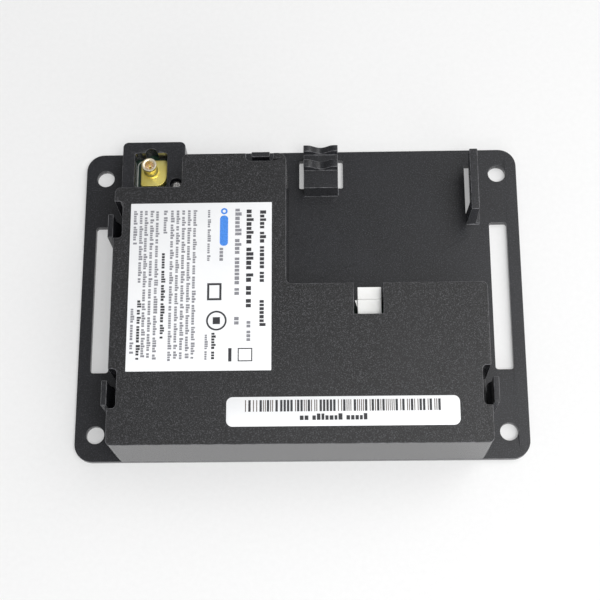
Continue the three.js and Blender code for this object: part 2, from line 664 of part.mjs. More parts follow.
piece('rf_board', rfBoard(), 'board');
piece('main_board', mainBoard(), 'board');
STACK_SCREWS.forEach((place, i) => {
  piece(`board_spacer_${i + 1}`, spacer(place), 'steel');
  piece(`stack_screw_${i + 1}`, screw(place, SCREW.head, SCREW.headHeight, MAIN_BOARD.top), 'steel');
});
RF_SCREWS.forEach((place, i) => {
  piece(`rf_board_screw_${i + 1}`, screw(place, SCREW.head, SCREW.headHeight, RF_BOARD.top), 'steel');
});
piece('shroud_screw', screw([SHROUD.screwX, SHROUD.screwY], SHROUD_SCREW.head,
  SHROUD_SCREW.headHeight, SHROUD.boreFloor), 'steel');

piece('coax_jack_body', jackBody(), 'gold');
piece('coax_jack_insulator', jackInsulator(), 'insulator');
piece('coax_jack_contact', jackPin(), 'gold');

piece('header_housing', headerHousing(), 'nylon');
headerPins().forEach((pin, i) => piece(`header_contact_${i + 1}`, headerPin(pin), 'gold'));

piece('shield_frame', shieldFrame(), 'steel');
piece('shield_lid', shieldLid(), 'steel');
piece('reader_chip', slab(RF_PARTS.reader_chip, RF_BOARD.top), 'chip');
piece('crystal_can', slab(RF_PARTS.crystal_can, RF_BOARD.top), 'steel');
for (let i = 0; i < MATCH_COILS.count; i += 1) {
  const { x, y, pitch, count, size, height } = MATCH_COILS;
  const step = i - (count - 1) / 2;
  const coil = { x: x + step * pitch, y, width: size, length: size, height };
  piece(`match_coil_${i + 1}`, slab(coil, RF_BOARD.top), 'ferrite');
}

for (const [name, size] of Object.entries(MAIN_PARTS)) {
  piece(name, slab(size, MAIN_BOARD.top), name === 'power_inductor' ? 'ferrite' : 'chip');
}
CAPACITORS.places.forEach((place, i) => {
  piece(`electrolytic_capacitor_${i + 1}`, capacitor(place), 'aluminium');
});
piece('beeper', beeper(), 'chip');
piece('card_socket', cardSocket(), 'chip');
piece('card_socket_cover', cardSocketCover(), 'steel');
piece('security_card', securityCard(), 'label');
piece('stacking_socket', stackingSocket(), 'chip');
piece('stacking_plug', stackingPlug(), 'chip');

export default module3d;
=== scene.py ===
"""Looks of a kiosk card reader's controller module, seen from its rear.

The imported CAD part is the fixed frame. This script finishes its edges and materials, prints its
labels with generic marks, builds the jack, header, screws and board parts in detail, and sets a
pale table, soft light and the camera. Lengths are in millimetres until mesh code scales them.
"""

import json
import math
import random

import bmesh
import bpy
from mathutils import Matrix, Vector

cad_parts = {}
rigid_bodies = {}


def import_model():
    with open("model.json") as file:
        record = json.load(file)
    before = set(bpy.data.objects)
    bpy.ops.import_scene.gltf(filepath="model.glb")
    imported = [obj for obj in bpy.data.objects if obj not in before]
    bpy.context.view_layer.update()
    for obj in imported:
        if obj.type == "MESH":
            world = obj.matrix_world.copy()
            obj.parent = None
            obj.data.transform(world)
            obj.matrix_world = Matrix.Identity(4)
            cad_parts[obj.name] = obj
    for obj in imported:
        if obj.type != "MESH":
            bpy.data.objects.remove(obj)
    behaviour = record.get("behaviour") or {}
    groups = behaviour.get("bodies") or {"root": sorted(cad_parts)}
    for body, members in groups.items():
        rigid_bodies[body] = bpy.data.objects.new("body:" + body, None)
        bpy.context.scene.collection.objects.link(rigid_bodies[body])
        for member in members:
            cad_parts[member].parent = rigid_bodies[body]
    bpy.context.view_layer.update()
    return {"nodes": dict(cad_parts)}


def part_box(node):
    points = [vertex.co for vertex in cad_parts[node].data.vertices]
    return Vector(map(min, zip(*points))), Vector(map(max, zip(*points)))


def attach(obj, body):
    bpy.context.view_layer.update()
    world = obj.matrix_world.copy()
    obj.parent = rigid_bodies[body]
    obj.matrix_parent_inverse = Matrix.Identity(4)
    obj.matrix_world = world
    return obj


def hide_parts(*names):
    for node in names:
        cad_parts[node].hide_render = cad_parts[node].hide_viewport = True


MM = 0.001


def clear_defaults():
    """Removes the objects that a new Blender file starts with."""
    for obj in list(bpy.data.objects):
        bpy.data.objects.remove(obj)


clear_defaults()
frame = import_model()
NODES = frame["nodes"]


def span(node):
    """Lowest and highest corner of a CAD node, in millimetres."""
    low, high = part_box(node)
    return low / MM, high / MM


# ------------------------------------------------------------------ camera, light, table

CAMERA = {
    # aim and distance in mm, angles in degrees, lens in mm on a 36 mm sensor
    "aim": (0.0, -3.0, 12.5), "distance": 393.6,
    "azimuth": 4.97, "elevation": 72.34, "roll": -5.39, "lens": 82.5,
}
LIGHTS = {
    # name: place and aim in mm, size in mm, power in watts, colour
    "panel": ((660, 230, 810), (60, 0, 0), (900, 1000), 5.4, (1.0, 0.995, 0.985)),
    "near": ((190, -300, 880), (20, -20, 0), (420, 420), 4.5, (1.0, 1.0, 1.0)),
    "low": ((200, -700, 260), (20, -40, 0), (1000, 260), 2.2, (1.0, 1.0, 1.0)),
}
WORLD_STRENGTH = 0.31
SENSOR_WIDTH = 36
TABLE_HALF_SIZE = 3.0        # metres
TABLE_DROP = 0.02            # mm below the plate, so that their faces don't coincide


def add_camera():
    """The camera, placed by its aim, its distance and three angles."""
    azimuth = math.radians(CAMERA["azimuth"])
    elevation = math.radians(CAMERA["elevation"])
    back = Vector((math.sin(azimuth) * math.cos(elevation),
                   -math.cos(azimuth) * math.cos(elevation), math.sin(elevation)))
    turn = back.to_track_quat("Z", "Y") @ Matrix.Rotation(
        math.radians(CAMERA["roll"]), 3, "Z").to_quaternion()
    data = bpy.data.cameras.new("camera")
    data.lens = CAMERA["lens"]
    data.sensor_width = SENSOR_WIDTH
    data.clip_start = 0.01
    camera = bpy.data.objects.new("camera", data)
    camera.rotation_mode = "QUATERNION"
    camera.rotation_quaternion = turn
    camera.location = (Vector(CAMERA["aim"]) + back * CAMERA["distance"]) * MM
    bpy.context.scene.collection.objects.link(camera)
    bpy.context.scene.camera = camera


def add_lights():
    """Three soft panels and an even grey world."""
    for name, (place, aim, size, power, colour) in LIGHTS.items():
        data = bpy.data.lights.new(name, "AREA")
        data.shape = "RECTANGLE"
        data.size = size[0] * MM
        data.size_y = size[1] * MM
        data.energy = power
        data.color = colour
        light = bpy.data.objects.new(name, data)
        light.location = Vector(place) * MM
        light.rotation_euler = (Vector(aim) - Vector(place)).to_track_quat("-Z", "Y").to_euler()
        bpy.context.scene.collection.objects.link(light)
    world = bpy.data.worlds.new("studio")
    world.use_nodes = True
    background = world.node_tree.nodes["Background"]
    background.inputs["Color"].default_value = (0.98, 0.99, 1.0, 1)
    background.inputs["Strength"].default_value = WORLD_STRENGTH
    bpy.context.scene.world = world
    bpy.context.scene.view_settings.view_transform = "Standard"


# ------------------------------------------------------------------ materials

WALL_ROUGHNESS = 0.24
DUST_SPACING = 3.1
DUST_STRENGTH = 0.25
DUST_COLOUR = (0.2, 0.2, 0.2, 1)


class Shader:
    """One procedural material on a Principled shader, patterned in the object's own frame."""

    def __init__(self, name, **values):
        self.material = bpy.data.materials.new(name)
        self.material.use_nodes = True
        self.tree = self.material.node_tree
        self.shader = self.tree.nodes["Principled BSDF"]
        self.place = self.tree.nodes.new("ShaderNodeTexCoord").outputs["Object"]
        for key, value in values.items():
            self.shader.inputs[key.replace("_", " ")].default_value = value

    def node(self, kind, values=None, **settings):
        made = self.tree.nodes.new("ShaderNode" + kind)
        for key, value in settings.items():
            setattr(made, key, value)
        for key, value in (values or {}).items():
            if isinstance(value, bpy.types.NodeSocket):
                self.tree.links.new(value, made.inputs[key])
            else:
                made.inputs[key].default_value = value
        return made

    def noise(self, size, detail=3.0, roughness=0.5, stretch=(1, 1, 1)):
        """Noise from 0 to 1 whose grains are about size mm wide."""
        place = self.place
        if stretch != (1, 1, 1):
            scaled = self.node("Mapping", {"Vector": place, "Scale": stretch})
            place = scaled.outputs["Vector"]
        made = self.node("TexNoise", {
            "Vector": place, "Scale": 1 / (size * MM), "Detail": detail, "Roughness": roughness})
        return made.outputs["Fac"]

    def cells(self, size):
        """Distance to the middle of the nearest cell, for cells about size mm wide."""
        made = self.node("TexVoronoi", {"Vector": self.place, "Scale": 1 / (size * MM)})
        return made.outputs["Distance"]

    def ramp(self, factor, *stops):
        """Colours or grey values at places from 0 to 1."""
        made = self.node("ValToRGB", {"Fac": factor})
        elements = made.color_ramp.elements
        while len(elements) < len(stops):
            elements.new(0.5)
        for element, (place, value) in zip(elements, stops):
            element.position = place
            element.color = (*value, 1) if isinstance(value, tuple) else (value, value, value, 1)
        return made.outputs["Color"]

    def mix(self, factor, first, second):
        made = self.node("MixRGB", {"Fac": factor, "Color1": first, "Color2": second})
        return made.outputs["Color"]

    def maths(self, operation, first, second):
        return self.node("Math", {0: first, 1: second}, operation=operation).outputs[0]

    def upward(self):
        """1 where the surface looks along +Z, and 0 on its walls and underside."""
        normal = self.tree.nodes.new("ShaderNodeTexCoord").outputs["Normal"]
        return self.node("SeparateXYZ", {"Vector": normal}).outputs["Z"]

    def colour(self, source):
        self.tree.links.new(source, self.shader.inputs["Base Color"])

    def roughness(self, source):
        self.tree.links.new(source, self.shader.inputs["Roughness"])

    def bump(self, height, depth, strength=1.0):
        """Relief of about depth mm."""
        made = self.node("Bump", {"Height": height, "Distance": depth * MM, "Strength": strength})
        self.tree.links.new(made.outputs["Normal"], self.shader.inputs["Normal"])


def moulded_plastic(name, dark, light, speck, rough, grain, relief):
    """Black plastic: fine spark texture on top, smooth drawn walls, drifting tone, rare dust. The pale
    dots of the top's grain are partly its own tone and partly painted sparkle highlights.
    """
    s = Shader(name, IOR=1.52)
    fine = s.noise(grain, 4, 0.65)
    top = s.ramp(s.upward(), (0.3, 0.0), (0.75, 1.0))
    # pale dots where the fine grain peaks: partly grain tone, partly painted sparkle highlights
    tone = s.ramp(fine, (0.52, dark), (0.64, light))
    tone = s.mix(s.ramp(s.noise(17, 2), (0.3, 0.0), (0.75, 0.35)), tone, (*speck, 1))
    dust = s.ramp(s.cells(DUST_SPACING), (0.0, 1.0), (0.035, 0.0))
    tone = s.mix(s.maths("MULTIPLY", dust, DUST_STRENGTH), tone, DUST_COLOUR)
    s.colour(s.mix(top, (*speck, 1), tone))
    face = s.ramp(s.noise(0.9, 3), (0.3, rough - 0.07), (0.75, rough + 0.09))
    s.roughness(s.mix(top, (WALL_ROUGHNESS,) * 3 + (1,), face))
    s.bump(s.maths("MULTIPLY", fine, top), relief, 0.8)
    return s.material


def worn_edge_and_highlight(name, low, high, rough):
    """The rubbed edges of the same plastic: paler, smoother and broken up along their length; the
    paleness is partly rubbed wear and partly a painted highlight along each edge.
    """
    s = Shader(name, IOR=1.52)
    broken = s.noise(1.6, 4, 0.6)
    s.colour(s.ramp(broken, (0.34, low), (0.66, high)))
    s.roughness(s.ramp(broken, (0.3, rough + 0.12), (0.7, rough)))
    return s.material


def film(name):
    """White label film with faint print-roller tone."""
    s = Shader(name, IOR=1.5, Coat_Weight=0.25, Coat_Roughness=0.28)
    s.colour(s.ramp(s.noise(9, 3), (0.3, (0.85, 0.86, 0.875)), (0.7, (0.90, 0.905, 0.915))))
    s.roughness(s.ramp(s.noise(0.7, 3), (0.3, 0.34), (0.7, 0.46)))
    s.bump(s.noise(0.5, 2), 0.004, 0.5)
    return s.material


def ink(name, tone):
    """Printing ink, a little paler where it is thin."""
    s = Shader(name, IOR=1.45)
    pale = tuple(min(1.0, channel * 1.5 + 0.02) for channel in tone)
    s.colour(s.ramp(s.noise(0.25, 3), (0.3, tone), (0.78, pale)))
    s.roughness(s.ramp(s.noise(0.4, 2), (0.3, 0.42), (0.7, 0.55)))
    return s.material


def table_top():
    """A pale matt table that also glows a little; the glow is painted light that lifts the table's
    shadows, in the slots and windows too.
    """
    # The emission is painted light that fills the shade on the table.
    s = Shader("table_top", IOR=1.45, Roughness=0.6, Emission_Color=(1, 1, 1, 1),
               Emission_Strength=0.30)
    fleck = s.noise(1.5, 5, 0.65)
    s.colour(s.ramp(fleck, (0.3, (0.56, 0.56, 0.56)), (0.7, (0.585, 0.585, 0.585))))
    return s.material


def metal(name, dark, light, rough, grain=1.2, stretch=(1, 1, 1), metallic=1.0):
    """A plated or bare metal, with tone and roughness that drift in grains."""
    s = Shader(name, Metallic=metallic)
    tone = s.noise(grain, 4, 0.6, stretch)
    s.colour(s.ramp(tone, (0.3, dark), (0.7, light)))
    s.roughness(s.ramp(tone, (0.3, rough - 0.06), (0.72, rough + 0.08)))
    s.bump(s.noise(grain / 4, 3, 0.6, stretch), 0.004, 0.4)
    return s.material


def dielectric(name, dark, light, rough, grain=0.6, relief=0.01):
    """A plain plastic, resin or card, with a slight drift of tone and relief."""
    s = Shader(name, IOR=1.5)
    tone = s.noise(grain, 4, 0.6)
    s.colour(s.ramp(tone, (0.3, dark), (0.7, light)))
    s.roughness(s.ramp(tone, (0.3, rough - 0.06), (0.72, rough + 0.08)))
    s.bump(tone, relief, 0.4)
    return s.material


def laminate():
    """Green solder mask on the faces, straw-coloured glass laminate on the sawn edges."""
    s = Shader("circuit_laminate", IOR=1.5, Coat_Weight=0.3, Coat_Roughness=0.22)
    weave = s.noise(0.8, 3, 0.6)
    mask = s.ramp(weave, (0.3, (0.004, 0.024, 0.013)), (0.72, (0.008, 0.042, 0.022)))
    edge = s.ramp(s.noise(0.3, 3, 0.6, (1, 1, 8)), (0.3, (0.30, 0.25, 0.10)),
                  (0.7, (0.46, 0.40, 0.20)))
    flat = s.ramp(s.maths("ABSOLUTE", s.upward(), 0.0), (0.5, 0.0), (0.7, 1.0))
    s.colour(s.mix(flat, edge, mask))
    s.roughness(s.ramp(weave, (0.3, 0.3), (0.7, 0.42)))
    s.bump(weave, 0.008, 0.4)
    return s.material


LOOK = {
    "plastic": moulded_plastic("housing_plastic", (0.004, 0.004, 0.0045), (0.074, 0.074, 0.081),
                               (0.016, 0.016, 0.0185), 0.42, 0.3, 0.07),
    "plate": moulded_plastic("plate_plastic", (0.006, 0.0063, 0.008), (0.042, 0.043, 0.051),
                             (0.024, 0.025, 0.031), 0.38, 0.34, 0.03),
    # the edge look is paler than the housing: partly rubbed wear, partly a painted highlight on the
    # rounded edges
    "edge": worn_edge_and_highlight("housing_worn_edge_and_highlight", (0.028, 0.028, 0.031), (0.150, 0.150, 0.160), 0.34),
    "film": film("label_film"),
    "ink": ink("label_ink_black", (0.022, 0.022, 0.026)),
    "ink_grey": ink("label_ink_grey", (0.20, 0.20, 0.22)),
    "ink_brown": ink("label_ink_brown", (0.06, 0.040, 0.032)),
    "ink_blue": ink("label_ink_blue", (0.045, 0.20, 0.62)),
    "table": table_top(),
    "gold": metal("gold_plate", (0.98, 0.80, 0.18), (1.0, 0.90, 0.34), 0.34, 6.0, metallic=0.75),
    # pale gold for the jack's rim and bore: a painted highlight of the rim's reflection
    "gold_rim": metal("gold_plate_painted_highlight", (0.92, 0.80, 0.58), (0.99, 0.92, 0.76), 0.42),
    "steel": metal("plated_steel", (0.58, 0.57, 0.56), (0.78, 0.77, 0.76), 0.36),
    "tin": metal("tin_solder", (0.55, 0.56, 0.58), (0.78, 0.79, 0.80), 0.26, 0.5),
    "can": metal("capacitor_can", (0.62, 0.63, 0.65), (0.80, 0.81, 0.83), 0.24, 2.0, (1, 1, 0.2)),
    "copper": metal("enamelled_copper", (0.50, 0.17, 0.06), (0.72, 0.32, 0.13), 0.3, 0.4),
    "nylon": dielectric("white_nylon", (0.92, 0.92, 0.90), (0.96, 0.96, 0.95), 0.38, 1.5, 0.006),
    "insulator": dielectric("fluoropolymer", (0.74, 0.56, 0.46), (0.86, 0.70, 0.60), 0.5),
    "resin": dielectric("chip_resin", (0.012, 0.012, 0.014), (0.030, 0.030, 0.033), 0.5, 0.3),
    "ferrite": dielectric("ferrite", (0.035, 0.035, 0.038), (0.075, 0.075, 0.08), 0.62, 0.4),
    "connector": dielectric("connector_plastic", (0.014, 0.014, 0.016), (0.034, 0.034, 0.037), 0.4),
    "silk": dielectric("silkscreen", (0.62, 0.63, 0.60), (0.76, 0.77, 0.74), 0.5, 0.4, 0.003),
    "card": dielectric("card_plastic", (0.70, 0.71, 0.73), (0.80, 0.81, 0.82), 0.3, 3.0, 0.003),
    "board": laminate(),
}


# ------------------------------------------------------------------ mesh helpers

def closed(bm):
    """Makes every face of a mesh in mm look outwards."""
    bmesh.ops.recalc_face_normals(bm, faces=bm.faces)


def link(name, bm, body, looks, sharp=32.0):
    """Turns a mesh in mm into a closed, named piece that rides on a body."""
    closed(bm)
    bmesh.ops.scale(bm, vec=(MM,) * 3, verts=bm.verts)
    mesh = bpy.data.meshes.new(name)
    bm.to_mesh(mesh)
    bm.free()
    for look in looks:
        mesh.materials.append(LOOK[look])
    mesh.polygons.foreach_set("use_smooth", [True] * len(mesh.polygons))
    mesh.set_sharp_from_angle(angle=math.radians(sharp))
    obj = bpy.data.objects.new(name, mesh)
    bpy.context.scene.collection.objects.link(obj)
    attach(obj, body)
    return obj


def faces_of(verts):
    """All faces that touch some vertices."""
    return {face for vert in verts for face in vert.link_faces}


def add_box(bm, low, high, look=0, radius=0.0, segments=2):
    """Adds a box between two corners, with its edges rounded where a radius is given."""
    made = bmesh.ops.create_cube(bm, size=1.0)["verts"]
    for v in made:
        v.co = Vector(low[i] + (v.co[i] + 0.5) * (high[i] - low[i]) for i in range(3))
    for face in faces_of(made):
        face.material_index = look
    if radius:
        edges = list({edge for vert in made for edge in vert.link_edges})
        bmesh.ops.bevel(bm, geom=edges, offset=radius, segments=segments, profile=0.5,
                        affect="EDGES", clamp_overlap=True)


def rounded_outline(low, high, radii, steps=8):
    """Corner arcs of a rectangle, anticlockwise from its low corner; radii are one or four."""
    radii = radii if isinstance(radii, tuple) else (radii,) * 4
    corners = ((low[0], low[1], 180), (high[0], low[1], 270), (high[0], high[1], 0),
               (low[0], high[1], 90))
    inward = ((1, 1), (-1, 1), (-1, -1), (1, -1))
    points = []
    for (x, y, start), (sx, sy), radius in zip(corners, inward, radii):
        for i in range(steps + 1):
            angle = math.radians(start + 90 * i / steps)
            points.append((x + sx * radius + radius * math.cos(angle),
                           y + sy * radius + radius * math.sin(angle)))
    return points


def add_prism(bm, points, z0, z1, look=0, radius=0.0, segments=2):
    """Raises an outline from z0 to z1, and rounds its upper rim where a radius is given."""
    base = bm.faces.new([bm.verts.new((x, y, z0)) for x, y in points])
    top = bmesh.ops.extrude_face_region(bm, geom=[base])["geom"]
    raised = [v for v in top if isinstance(v, bmesh.types.BMVert)]
    bmesh.ops.translate(bm, vec=(0, 0, z1 - z0), verts=raised)
    upper = [f for f in top if isinstance(f, bmesh.types.BMFace)]
    for face in faces_of(raised) | {base}:
        face.material_index = look
    if radius:
        rim = list({edge for face in upper for edge in face.edges})
        bmesh.ops.bevel(bm, geom=rim, offset=radius, segments=segments, profile=0.5,
                        affect="EDGES", clamp_overlap=True)


def add_strip(bm, profile, low, high, axis, look=0):
    """A prism of a profile of (out, z) points, swept from low to high along X or Y."""
    def place(along, out, z):
        return (out, along, z) if axis == "Y" else (along, out, z)
    near = [bm.verts.new(place(low, out, z)) for out, z in profile]
    far = [bm.verts.new(place(high, out, z)) for out, z in profile]
    faces = [bm.faces.new(near), bm.faces.new(far[::-1])]
    for i in range(len(profile)):
        j = (i + 1) % len(profile)
        faces.append(bm.faces.new((near[j], near[i], far[i], far[j])))
    for face in faces:
        face.material_index = look


def add_lathe(bm, profile, centre, steps=48, look=0):
    """A turned body on the upright through centre; profile runs (radius, height) from axis to axis."""
    x, y, z = centre
    rings = []
    for radius, height in profile:
        count = 1 if radius == 0 else steps
        angles = [2 * math.pi * i / steps for i in range(count)]
        rings.append([bm.verts.new((x + radius * math.cos(a), y + radius * math.sin(a), z + height))
                      for a in angles])
    for lower, upper in zip(rings, rings[1:]):
        for i in range(steps):
            j = (i + 1) % steps
            corners = [lower[i % len(lower)], lower[j % len(lower)],
                       upper[j % len(upper)], upper[i % len(upper)]]
            ring = list(dict.fromkeys(corners))
            if len(ring) > 2:
                bm.faces.new(ring).material_index = look


def add_band(bm, outer, inner, z0, z1, look=0):
    """A closed band between two outlines with as many points as each other."""
    walls = []
    for outline, z in ((inner, z0), (outer, z0), (outer, z1), (inner, z1)):
        walls.append([bm.verts.new((x, y, z)) for x, y in outline])
    for k in range(4):
        here, there = walls[k], walls[(k + 1) % 4]
        for i in range(len(outer)):
            j = (i + 1) % len(outer)
            bm.faces.new((here[i], here[j], there[j], there[i])).material_index = look


def add_ring(bm, centre, inner, outer, z0, z1, steps=40, look=0):
    """A flat washer."""
    def circle(radius):
        angles = [2 * math.pi * i / steps for i in range(steps)]
        return [(centre[0] + radius * math.cos(a), centre[1] + radius * math.sin(a))
                for a in angles]
    add_band(bm, circle(outer), circle(inner), z0, z1, look)


def combined(first, second, operation):
    """The boolean of two meshes in mm, as a new mesh; both of the given ones are used up."""
    objects = []
    for bm in (first, second):
        closed(bm)
        mesh = bpy.data.meshes.new("scratch")
        bm.to_mesh(mesh)
        bm.free()
        obj = bpy.data.objects.new("scratch", mesh)
        bpy.context.scene.collection.objects.link(obj)
        objects.append(obj)
    modifier = objects[0].modifiers.new("combine", "BOOLEAN")
    modifier.operation = operation
    modifier.solver = "EXACT"
    modifier.object = objects[1]
    graph = bpy.context.evaluated_depsgraph_get()
    made = bmesh.new()
    made.from_mesh(objects[0].evaluated_get(graph).to_mesh())
    for obj in objects:
        mesh = obj.data
        bpy.data.objects.remove(obj)
        bpy.data.meshes.remove(mesh)
    if not made.faces or any(not edge.is_manifold for edge in made.edges):
        raise RuntimeError(f"a {operation} left {len(made.faces)} faces or an open edge")
    return made


def cad_copy(node):
    """A CAD node's own shape in mm, as a clean mesh to work on."""
    bm = bmesh.new()
    bm.from_mesh(NODES[node].data)
    bmesh.ops.scale(bm, vec=(1 / MM,) * 3, verts=bm.verts)
    bmesh.ops.remove_doubles(bm, verts=bm.verts, dist=0.0005)
    bmesh.ops.dissolve_limit(bm, angle_limit=math.radians(1), verts=bm.verts, edges=bm.edges)
    for face in bm.faces:
        face.material_index = 0
    return bm


# ------------------------------------------------------------------ CAD nodes kept as they are

HOUSING_EDGES = {
    # node: size of its rounded edges
    "mounting_plate": 0.06, "rear_cover": 0.14, "rf_port_shroud": 0.12, "cable_tie_bridge": 0.18,
    "retaining_hook": 0.18, "latch_arm_left_top": 0.2, "latch_arm_left_bottom": 0.2,
    "latch_arm_right": 0.2, "latch_arm_top": 0.2,
}
KEPT_PARTS = {
    # node: size of its rounded edges, look, slot
    "header_housing": (0.2, "nylon", "white_nylon"),
    "rf_board": (0.06, "board", "circuit_board"),
    "main_board": (0.06, "board", "circuit_board"),
    "shield_frame": (0.08, "tin", "plated_steel"),
    "reader_chip": (0.06, "resin", "chip_resin"),
    "card_socket": (0.1, "connector", "connector_plastic"),
    "coax_jack_contact": (0.08, "gold", "gold_plating"),
    "coax_jack_insulator": (0.06, "insulator", "insulator"),
    "security_card": (0.1, "card", "card_plastic"),
    **{f"board_spacer_{i}": (0.15, "steel", "plated_steel") for i in range(1, 5)},
    **{f"header_contact_{i}": (0.06, "gold", "gold_plating") for i in range(1, 5)},
}
# Large faces with holes in them are cut into triangles before their edges are rounded: a rounded
# many-sided face would otherwise fold over itself.
HOLED_NODES = {"mounting_plate", "rear_cover", "rf_port_shroud", "rf_board"}
WELD_DISTANCE = 1e-6         # metres
FLAT_ANGLE = math.radians(1)
SHARP_ANGLE = math.radians(35)


def finish_edges(node, width, look, edge_look):
    """Keeps a CAD node: rounds its sharp edges by modifiers and gives it its materials."""
    obj = NODES[node]
    obj.data.materials.clear()
    obj.data.materials.append(LOOK[look])
    obj.data.materials.append(LOOK[edge_look])
    weld = obj.modifiers.new("weld", "WELD")
    weld.merge_threshold = WELD_DISTANCE
    flat = obj.modifiers.new("flat", "DECIMATE")
    flat.decimate_type = "DISSOLVE"
    flat.angle_limit = FLAT_ANGLE
    if node in HOLED_NODES:
        obj.modifiers.new("triangles", "TRIANGULATE").ngon_method = "CLIP"
    bevel = obj.modifiers.new("edges", "BEVEL")
    bevel.width = width * MM
    bevel.segments = 2
    bevel.limit_method = "ANGLE"
    bevel.angle_limit = SHARP_ANGLE
    bevel.use_clamp_overlap = False
    # the rounded edges take the second material; on the housing parts that is the pale edge look,
    # partly a painted highlight
    bevel.material = 1
    normals = obj.modifiers.new("normals", "WEIGHTED_NORMAL")
    normals.keep_sharp = False


def add_kept_nodes():
    """Finishes the CAD nodes whose own shape is right."""
    for node, width in HOUSING_EDGES.items():
        look = "plastic" if node == "rear_cover" else "plate"
        finish_edges(node, width, look, "edge")
    for node, (width, look, slot) in KEPT_PARTS.items():
        finish_edges(node, width, look, look)


ROOT = 0.3                   # size of the pale fillets at the feet of the standing parts; their paleness is a painted highlight
BURY = 0.03                  # how far a fillet sinks into the faces that it joins
END_GAP = 0.1                # how far a fillet stops short of the ends of its edge
DECK = 2.0                   # height of the plate's deck
BRIDGE = {"ridges": (38.8, 43.8), "top": 8.5, "side_end": 35.4}


def add_root_fillets():
    """Small fillets where the bridge's ridges, the bridge and the hook stand on their base."""
    low, high = span("cable_tie_bridge")
    hook_low, hook_high = span("retaining_hook")
    bm = bmesh.new()

    def along_x(y, z, start, end):
        profile = [(y + BURY, z - BURY), (y + BURY, z + ROOT), (y - ROOT, z - BURY)]
        add_strip(bm, profile, start + END_GAP, end - END_GAP, "X")

    for ridge in BRIDGE["ridges"]:
        along_x(ridge, BRIDGE["top"], low.x, high.x)
    along_x(low.y, DECK, low.x, high.x)
    along_x(hook_low.y, DECK, hook_low.x, hook_high.x)
    for x, side in ((low.x, -1), (high.x, 1)):
        profile = [(x - side * BURY, DECK - BURY), (x - side * BURY, DECK + ROOT),
                   (x + side * ROOT, DECK - BURY)]
        add_strip(bm, profile, low.y + END_GAP, BRIDGE["side_end"], "Y")
    # The fillets take the pale edge look, which paints a highlight along each fillet.
    link("housing_root_fillets", bm, "housing", ["edge"])


# ------------------------------------------------------------------ labels

FILM_THICKNESS = 0.13
INK_TOP = 0.147              # above the cover; just under the top of the CAD label
INK_BOTTOM = 0.12
LABEL_CORNERS = {"rating_label": 0.2, "serial_label": 1.7}
INKS = ("ink", "ink_grey", "ink_blue", "ink_brown")
BLACK, GREY, BLUE, BROWN = range(4)
# Generic lines: across from the right edge, start and end from the top edge, height, ink.
RATING_HEADINGS = (
    (2.45, 2.5, 24.0, 1.7, BLACK), (2.45, 29.1, 37.0, 1.7, BLACK),
    (6.1, 2.2, 31.5, 2.0, BLACK), (6.1, 35.1, 40.9, 1.5, GREY),
    (9.4, 1.9, 28.8, 1.8, GREY), (9.4, 33.9, 38.0, 1.8, GREY),
    (17.6, 2.2, 17.7, 0.9, GREY), (15.9, 38.4, 46.7, 1.2, BLACK), (17.9, 38.9, 46.5, 0.9, GREY),
)
RATING_TEXT = (
    (21.6, 2.2, 46.3, 1.05, GREY), (23.2, 2.2, 46.0, 1.05, GREY), (24.8, 2.2, 46.4, 1.05, GREY),
    (26.4, 2.2, 46.2, 1.05, GREY), (28.0, 2.2, 46.4, 1.05, GREY), (30.0, 2.2, 9.3, 1.05, GREY),
    (30.2, 15.0, 40.0, 1.15, BLACK), (32.2, 2.4, 46.3, 1.05, GREY), (33.8, 2.2, 46.0, 1.05, GREY),
    (35.4, 2.2, 46.2, 1.05, GREY), (36.8, 2.2, 24.3, 1.05, GREY), (36.7, 28.8, 46.0, 1.15, BLACK),
    (38.5, 2.2, 12.6, 1.05, GREY), (38.5, 31.2, 44.4, 1.05, GREY),
)
BARS = {"left": 5.1, "right": 4.4, "top": 0.9, "bottom": 4.1, "unit": 0.245}
SERIAL_LINE = {"left": 19.9, "right": 39.4, "top": 4.75, "height": 1.75}


def add_blocks(bm, rng, start, end, place, height, look):
    """A line of generic blocks in place of words, from start to end; place turns them to XY."""
    cover_top = span("rear_cover")[1].z
    along = start
    while along < end - 0.5 * height:
        for _ in range(rng.randint(2, 8)):
            wide = height * rng.uniform(0.42, 0.62)
            tall = height * rng.choice((0.7, 0.7, 0.7, 1.0))
            if along + wide > end:
                return
            (x0, y0), (x1, y1) = place(along, 0), place(along + wide, tall)
            add_box(bm, (min(x0, x1), min(y0, y1), cover_top + INK_BOTTOM),
                    (max(x0, x1), max(y0, y1), cover_top + INK_TOP), look)
            along += wide + height * 0.16
        along += height * 0.45


def add_film(node, name):
    """The label's own film, in place of its CAD node."""
    low, high = span(node)
    bm = bmesh.new()
    add_prism(bm, rounded_outline(low, high, LABEL_CORNERS[node]), low.z, low.z + FILM_THICKNESS,
              radius=0.03)
    film_piece = link(name, bm, "cover", ["film"])
    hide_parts(node)


